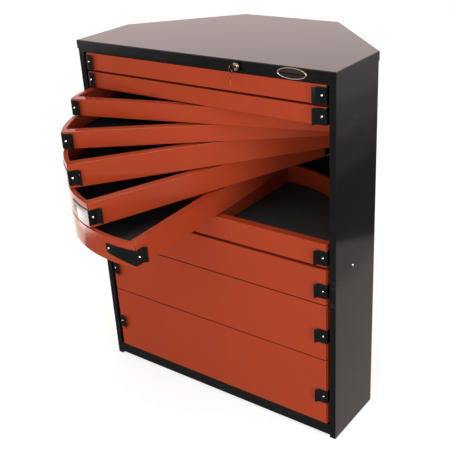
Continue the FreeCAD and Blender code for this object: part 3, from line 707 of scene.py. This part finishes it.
@dataclass
class Shell:
    """The fixings of the cabinet's own panels, pan and shaft."""

    half_width: float = 0.455
    corner_y: float = 0.1852
    back_y: float = 0.465
    side_screw: tuple[float, float] = (0.052, 0.566)
    rivet_inset: float = 0.007
    rivet_low: float = 0.07
    rivet_high: float = 1.09
    rivet_rows: int = 8
    foot_bolt: float = 0.028
    pan_top: float = 0.0448
    flange_under: float = 0.0406
    side_head: PanHeadScrew = field(
        default_factory=lambda: PanHeadScrew(radius=0.0042, height=0.0019))
    foot_dome: RivetHead = field(
        default_factory=lambda: RivetHead(radius=0.007, height=0.0022))

    def build(self, shop: Workshop) -> None:
        """Add the side screws, the rear rivets and the foot's bolts."""
        mesh = bmesh.new()
        for side in (-1, 1):
            spot = Vector((side * self.half_width, *self.side_screw))
            self.side_head.add(mesh, spot, Vector((side, 0, 0)))
        shop.piece(mesh, "side_panel_screws", "cabinet", "shaft_steel", SCREW_CHROME)
        self._rivets(shop)
        self._foot_bolts(shop)

    def _rivets(self, shop: Workshop) -> None:
        """Rivet the rear panels down both of their edges."""
        mesh = bmesh.new()
        step = self.rivet_inset / math.sqrt(2)
        back_x = self.half_width + self.corner_y - self.back_y
        lines = ((self.half_width - step, self.corner_y + step),
                 (back_x + step, self.back_y - step))
        rivet = RivetHead()
        for side in (-1, 1):
            for x, y in lines:
                for row in range(self.rivet_rows):
                    share = row / (self.rivet_rows - 1)
                    z = self.rivet_low + share * (self.rivet_high - self.rivet_low)
                    rivet.add(mesh, Vector((side * x, y, z)), Vector((side, 1, 0)))
        shop.piece(mesh, "rear_panel_rivets", "cabinet", "cabinet_paint", CABINET_BLACK)

    def _foot_bolts(self, shop: Workshop) -> None:
        """Bolt the shaft's foot to the pan, with low domed heads above and nuts below."""
        heads = bmesh.new()
        nuts = bmesh.new()
        nut = HexFixing()
        for x in (-self.foot_bolt, self.foot_bolt):
            for y in (-self.foot_bolt, self.foot_bolt):
                self.foot_dome.add(heads, Vector((x, y, self.pan_top)), Vector((0, 0, 1)))
                nut.add(nuts, Vector((x, y, self.flange_under)), Vector((0, 0, -1)))
        shop.piece(heads, "foot_bolt_heads", "cabinet", "shaft_steel", LOCK_ZINC)
        shop.piece(nuts, "foot_bolt_nuts", "cabinet", "shaft_steel", LOCK_ZINC)


@dataclass
class BadgePlate:
    """A bare oval plate with a bright raised rim, on the lid's front."""

    centre_x: float = 0.326
    centre_z: float = 1.138
    width: float = 0.089
    height: float = 0.031
    thickness: float = 0.0016
    rim_width: float = 0.0023
    rim_rise: float = 0.0007
    rim_slope: float = 0.0002
    enamel_margin: float = 0.0016
    crown_width: float = 0.004
    crown_rise: float = 0.0003
    edge_angle: float = 1.2
    edge_round: float = 0.0003
    lid_front: float = 0.050
    segments: int = 72

    def build(self, shop: Workshop) -> None:
        """Make the plate, its rim bright and its face dark enamel."""
        mesh = bmesh.new()
        bmesh.ops.create_circle(mesh, cap_ends=True, segments=self.segments, radius=0.5)
        oval = Matrix.Diagonal((self.width, self.height, 1, 1))
        bmesh.ops.transform(mesh, matrix=oval, verts=mesh.verts[:])
        base = mesh.faces[:]
        raised = bmesh.ops.extrude_face_region(mesh, geom=base)["geom"]
        top = [item for item in raised if isinstance(item, bmesh.types.BMVert)]
        bmesh.ops.translate(mesh, vec=(0, 0, self.thickness), verts=top)
        crown = [item for item in raised if isinstance(item, bmesh.types.BMFace)]
        bmesh.ops.inset_region(mesh, faces=crown, thickness=self.rim_width, use_even_offset=True)
        bmesh.ops.inset_region(mesh, faces=crown, thickness=self.rim_slope,
                               depth=-self.rim_rise, use_even_offset=True)
        crown[0].material_index = 1
        bmesh.ops.inset_region(
            mesh, faces=crown, thickness=self.enamel_margin, use_even_offset=True)
        bmesh.ops.inset_region(mesh, faces=crown, thickness=self.crown_width,
                               depth=self.crown_rise, use_even_offset=True)
        outer = [e for e in mesh.edges if len(e.link_faces) == 2
                 and e.calc_face_angle(0) > self.edge_angle
                 and all(v.co.z > 0 for v in e.verts)]
        bevel(mesh, outer, self.edge_round)
        spot = Vector((self.centre_x, -self.lid_front, self.centre_z))
        stand = Matrix.Translation(spot) @ Matrix.Rotation(math.pi / 2, 4, "X")
        bmesh.ops.transform(mesh, matrix=stand, verts=mesh.verts[:])
        shop.piece(mesh, "badge_plate", "cabinet", "key_nickel", BADGE_RIM, BADGE_ENAMEL)


@dataclass
class SpareKey:
    """A wire ring through the lock's key, with a second key hanging from it."""

    hole_x: float = 0.148
    hole_y: float = -0.0754
    hole_z: float = 1.137
    hole_radius: float = 0.003
    ring_radius: float = 0.0068
    wire: float = 0.0007
    bow_radius: float = 0.0085
    thickness: float = 0.0018
    blade_width: float = 0.0068
    blade_length: float = 0.021
    yaw: float = 0.64
    cuts: tuple[float, ...] = (0.0, 0.3, 0.05, 0.35, 0.15, 0.3, 0.1, 0.0)
    blade_share: float = 0.9
    overlap: float = 0.001
    wire_sides: int = 10
    ring_steps: int = 40
    bow_steps: int = 28

    @property
    def ring_centre(self) -> Vector:
        """The ring's centre, hung on the lower edge of the key's hole."""
        top = self.hole_z - self.hole_radius + self.wire
        return Vector((self.hole_x, self.hole_y, top - self.ring_radius))

    def build(self, shop: Workshop) -> None:
        """Make the ring and the hanging key."""
        ring = bmesh.new()
        bmesh.ops.create_circle(ring, segments=self.wire_sides, radius=self.wire)
        bmesh.ops.translate(ring, vec=(self.ring_radius, 0, 0), verts=ring.verts[:])
        bmesh.ops.spin(ring, geom=ring.verts[:] + ring.edges[:], cent=(0, 0, 0), axis=(0, 1, 0),
                       angle=2 * math.pi, steps=self.ring_steps, use_merge=True)
        bmesh.ops.translate(ring, vec=self.ring_centre, verts=ring.verts[:])
        shop.piece(ring, "key_ring", "lock_cylinder", "key_nickel", KEY_NICKEL)
        self._hanging_key(shop)

    def _hanging_key(self, shop: Workshop) -> None:
        """Make the second key, turned edge-on by its yaw, below the ring."""
        mesh = bmesh.new()
        half = self.thickness / 2
        ring_corners = ((self.hole_radius, -half), (self.bow_radius, -half),
                        (self.bow_radius, half), (self.hole_radius, half))
        section = [mesh.verts.new((0, y, x)) for y, x in ring_corners]
        edges = [mesh.edges.new((a, b)) for a, b in zip(section, section[1:] + section[:1])]
        bmesh.ops.spin(mesh, geom=section + edges, cent=(0, 0, 0), axis=(0, 0, 1),
                       angle=2 * math.pi, steps=self.bow_steps, use_merge=True)
        blade = bmesh.ops.create_grid(mesh, x_segments=len(self.cuts) - 1, y_segments=1, size=0.5)
        verts = blade["verts"]
        bmesh.ops.scale(mesh, vec=(self.blade_length, self.blade_width, 1), verts=verts)
        lower = sorted((v for v in verts if v.co.y < 0), key=lambda v: v.co.x)
        for vert, cut in zip(lower, self.cuts):
            vert.co.y += cut * self.blade_width
        faces = list({f for v in verts for f in v.link_faces})
        grown = bmesh.ops.extrude_face_region(mesh, geom=faces)["geom"]
        fresh = [item for item in grown if isinstance(item, bmesh.types.BMVert)]
        bmesh.ops.translate(mesh, vec=(0, 0, self.thickness * self.blade_share), verts=fresh)
        shift = self.bow_radius - self.overlap + self.blade_length / 2
        bmesh.ops.translate(mesh, vec=(shift, 0, -half * self.blade_share), verts=verts + fresh)
        down = Matrix.Rotation(self.yaw, 4, "Z") @ Matrix.Rotation(math.pi / 2, 4, "Y")
        hang = self.ring_centre - Vector((0, 0, self.ring_radius + self.hole_radius - self.wire))
        bmesh.ops.transform(mesh, matrix=Matrix.Translation(hang) @ down, verts=mesh.verts[:])
        shop.piece(mesh, "spare_key", "lock_cylinder", "key_nickel", KEY_NICKEL)


@dataclass
class NodePaints:
    """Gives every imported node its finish."""

    by_node: dict[str, Finish] = field(default_factory=lambda: {
        "top_lid": LID_SHADED_BLACK, "pivot_shaft": SHAFT_STEEL, "shaft_foot": FOOT_BLACK,
        "shaft_head": FOOT_BLACK, "lock_barrel": LOCK_BRASS, "lock_plug": LOCK_BRASS,
        "lock_clip": LOCK_ZINC, "lock_cam": LOCK_ZINC, "key": KEY_NICKEL})
    by_ending: dict[str, Finish] = field(default_factory=lambda: {
        "_tray": DRAWER_ORANGE, "_mat": MAT_BLACK, "_pulls": PULL_BLACK})

    def finish_of(self, node: str) -> Finish:
        """Return the finish of a node."""
        for ending, finish in self.by_ending.items():
            if node.endswith(ending):
                return finish
        return self.by_node.get(node, CABINET_BLACK)

    def dress(self, nodes: dict[str, bpy.types.Object], paints: PaintShop) -> None:
        """Put each node's material in all of its slots."""
        for name, item in nodes.items():
            material = paints.material(self.finish_of(name))
            item.data.materials.clear()
            item.data.materials.append(material)
            LOG.info("%s: %s", name, material.name)


@dataclass(frozen=True)
class Card:
    """A plain card that only gloss mirrors, as a photographer sets reflectors."""

    name: str
    corners: tuple[Spot, ...]
    colour: Colour
    strength: float


@dataclass(frozen=True)
class Lamp:
    """A soft rectangular lamp: its place, aim, width and height, and watts."""

    name: str
    spot: Spot
    aim: Spot
    size: tuple[float, float]
    power: float


@dataclass
class Studio:
    """The pale floor and room, the cards that gloss mirrors, the lamps and the camera."""

    camera_spot: Spot = (1.428, -1.789, 1.700)
    azimuth: float = 37.81
    tilt: float = 25.57
    roll: float = -3.61
    lens: float = 65.07
    sensor: float = 36.0
    floor_size: float = 60.0
    floor_paper: Colour = (0.8, 0.8, 0.8)
    floor_shaded: Colour = (0.42, 0.42, 0.42)
    floor_glow: float = 0.72
    room_light: Colour = (0.7, 0.69, 0.68)
    cards: tuple[Card, ...] = (
        Card("front_card", ((-4, -0.05, 0.002), (-4, -5, 0.002), (4, -5, 0.002),
                            (4, -0.05, 0.002)), (1.0, 0.97, 0.95), 0.2),
        Card("right_near_card", ((0.456, -0.04, 0.002), (2.02, -0.04, 0.002),
                                 (0.456, 1.93, 0.002)), (1.0, 0.86, 0.82), 0.52),
        Card("right_close_card", ((0.456, -0.04, 0.004), (0.91, -0.04, 0.004),
                                  (0.91, 1.2, 0.004), (0.456, 1.7, 0.004)), (1.0, 0.84, 0.8), 0.72),
        Card("right_mid_card", ((2.02, -0.04, 0.001), (2.02, 1.2, 0.001), (1.5, 1.2, 0.001),
                                (1.5, 5, 0.001), (0.456, 5, 0.001), (0.456, 1.93, 0.001)),
             (1.0, 0.92, 0.9), 0.09),
        Card("right_slope_card", ((1.5, 1.2, 0.003), (1.76, 1.2, 0.003), (1.76, 5, 0.003),
                                  (1.5, 5, 0.003)), (1.0, 0.92, 0.9), 0.2),
        Card("right_far_card", ((1.76, 1.2, 0.003), (2.1, 1.2, 0.003), (2.1, 5, 0.003),
                                (1.76, 5, 0.003)), (1.0, 0.93, 0.92), 0.37),
        Card("right_end_card", ((2.1, -0.04, 0.003), (6, -0.04, 0.003), (6, 6, 0.003),
                                (2.1, 6, 0.003)), (1.0, 0.93, 0.92), 0.6),
        Card("left_card", ((-1.25, 1.5, 0.004), (-3, 1.5, 0.004), (-3, -1.3, 0.004),
                           (-1.93, -0.72, 0.004), (-1.58, -0.38, 0.004),
                           (-1.25, -0.14, 0.004)), (0.96, 0.96, 0.84), 1.75),
        Card("window_card", ((-1.79, -0.16, 0.006), (-1.99, -0.16, 0.006), (-1.91, -0.79, 0.006),
                             (-1.76, -1.26, 0.006), (-1.55, -1.18, 0.006),
                             (-1.66, -0.72, 0.006)), (1.0, 0.93, 0.91), 6.5),
        Card("back_card", ((-6.5, 4, 1.0), (-0.2, 4, 1.0), (-0.2, 4, 4.2), (-6.5, 4, 4.2)),
             (1.0, 0.82, 0.79), 1.4),
        Card("softbox_right", ((2.6, -2.2, 2.2), (2.6, 0.9, 2.2), (2.6, 0.9, 4.0),
                               (2.6, -2.2, 4.0)), (1.0, 0.84, 0.7), 26.0),
        Card("softbox_front", ((0.2, -2.6, 2.2), (1.9, -2.6, 2.2), (1.9, -2.6, 4.0),
                               (0.2, -2.6, 4.0)), (1.0, 0.84, 0.7), 20.0),
    )
    lamps: tuple[Lamp, ...] = (
        Lamp("key_lamp", (0.9, -4.3, 0.95), (-0.15, 0, 0.25), (2.6, 1.7), 41.0),
        Lamp("right_lamp", (4.2, -1.9, 1.6), (0, 0, 0.6), (1.8, 1.8), 70.0),
        Lamp("top_lamp", (0.7, -1.1, 3.7), (0, 0, 0.8), (3.0, 2.4), 25.0),
    )

    def camera(self) -> None:
        """Stand the camera where the photograph was taken from."""
        az, el, roll = (math.radians(v) for v in (self.azimuth, self.tilt, self.roll))
        ahead = Vector((-math.sin(az) * math.cos(el), math.cos(az) * math.cos(el), -math.sin(el)))
        right = Vector((math.cos(az), math.sin(az), 0))
        up = right.cross(ahead)
        across = right * math.cos(roll) + up * math.sin(roll)
        above = up * math.cos(roll) - right * math.sin(roll)
        data = bpy.data.cameras.new("camera")
        data.lens = self.lens
        data.sensor_width = self.sensor
        data.sensor_fit = "HORIZONTAL"
        made = bpy.data.objects.new("camera", data)
        turn = Matrix((across, above, -ahead)).transposed().to_4x4()
        made.matrix_world = Matrix.Translation(self.camera_spot) @ turn
        bpy.context.scene.collection.objects.link(made)
        bpy.context.scene.camera = made

    @staticmethod
    def _seen(graph: Graph) -> Socket:
        """Return 1 for rays from the eye or a mirror or glass, and 0 for light."""
        path = graph.node("LightPath")
        mirrored = graph.math("MAXIMUM", path.outputs["Is Camera Ray"],
                              path.outputs["Is Glossy Ray"])
        return graph.math("MAXIMUM", mirrored, path.outputs["Is Transmission Ray"])

    @staticmethod
    def _lay(name: str, mesh: bmesh.types.BMesh) -> tuple[bpy.types.Object, Graph]:
        """Set a piece of the stage up with an empty material.

        Args:
            name: The name of the piece and its material.
            mesh: Its shape. It is freed.

        Returns:
            The piece and its material's graph.
        """
        data = bpy.data.meshes.new(name)
        mesh.to_mesh(data)
        mesh.free()
        material = bpy.data.materials.new(name)
        material.use_nodes = True
        material.node_tree.nodes.clear()
        data.materials.append(material)
        made = bpy.data.objects.new(name, data)
        bpy.context.scene.collection.objects.link(made)
        return made, Graph(material.node_tree)

    def floor(self) -> None:
        """Lay the pale floor, white to the eye and in gloss but for its soft shadow."""
        mesh = bmesh.new()
        bmesh.ops.create_grid(mesh, x_segments=1, y_segments=1, size=self.floor_size / 2)
        graph = self._lay("floor", mesh)[1]
        paper = graph.node("BsdfDiffuse", {"Color": self.floor_paper})
        shaded = graph.node("BsdfDiffuse", {"Color": self.floor_shaded})
        glow = graph.node("Emission", {"Color": WHITE, "Strength": self.floor_glow})
        white = graph.node("AddShader", {0: shaded.outputs[0], 1: glow.outputs[0]})
        both = graph.node("MixShader", {
            0: self._seen(graph), 1: paper.outputs[0], 2: white.outputs[0]})
        graph.node("OutputMaterial", {"Surface": both.outputs[0]})

    def card(self, card: Card) -> None:
        """Stand a card where only gloss mirrors it."""
        mesh = bmesh.new()
        mesh.faces.new([mesh.verts.new(spot) for spot in card.corners])
        made, graph = self._lay(card.name, mesh)
        path = graph.node("LightPath")
        clear = graph.node("BsdfTransparent")
        glow = graph.node("Emission", {"Color": card.colour, "Strength": card.strength})
        both = graph.node("MixShader", {
            0: path.outputs["Is Glossy Ray"], 1: clear.outputs[0], 2: glow.outputs[0]})
        graph.node("OutputMaterial", {"Surface": both.outputs[0]})
        made.visible_diffuse = False
        made.visible_shadow = False

    def room(self) -> None:
        """Surround the cabinet with white to the eye and in gloss, and a plain soft light."""
        world = bpy.data.worlds.new("room")
        world.use_nodes = True
        world.node_tree.nodes.clear()
        graph = Graph(world.node_tree)
        shade = graph.mix(self._seen(graph), self.room_light, WHITE)
        light = graph.node("Background", {"Color": shade, "Strength": 1.0})
        graph.node("OutputWorld", {"Surface": light.outputs[0]})
        bpy.context.scene.world = world

    def lamp(self, lamp: Lamp) -> None:
        """Hang a lamp."""
        data = bpy.data.lights.new(lamp.name, "AREA")
        data.shape = "RECTANGLE"
        data.size, data.size_y = lamp.size
        data.energy = lamp.power
        made = bpy.data.objects.new(lamp.name, data)
        place = Vector(lamp.spot)
        made.location = place
        made.rotation_mode = "QUATERNION"
        made.rotation_quaternion = (Vector(lamp.aim) - place).to_track_quat("-Z", "Y")
        made.visible_camera = False
        bpy.context.scene.collection.objects.link(made)

    def build(self) -> None:
        """Set the whole stage."""
        bpy.context.scene.view_settings.view_transform = "Standard"
        self.camera()
        self.floor()
        for card in self.cards:
            self.card(card)
        self.room()
        for lamp in self.lamps:
            self.lamp(lamp)
        LOG.info("stage: floor, %d cards, room, %d lamps and the camera",
                 len(self.cards), len(self.lamps))


def main() -> None:
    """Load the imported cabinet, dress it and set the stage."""
    logging.basicConfig(level=logging.INFO, format="%(name)s %(message)s")
    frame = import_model()
    paints = PaintShop()
    shop = Workshop(paints)
    NodePaints().dress(frame["nodes"], paints)
    DrawerStack().build(shop)
    Shell().build(shop)
    BadgePlate().build(shop)
    SpareKey().build(shop)
    Studio().build()
    bpy.context.view_layer.update()


if __name__ == "__main__":
    main()
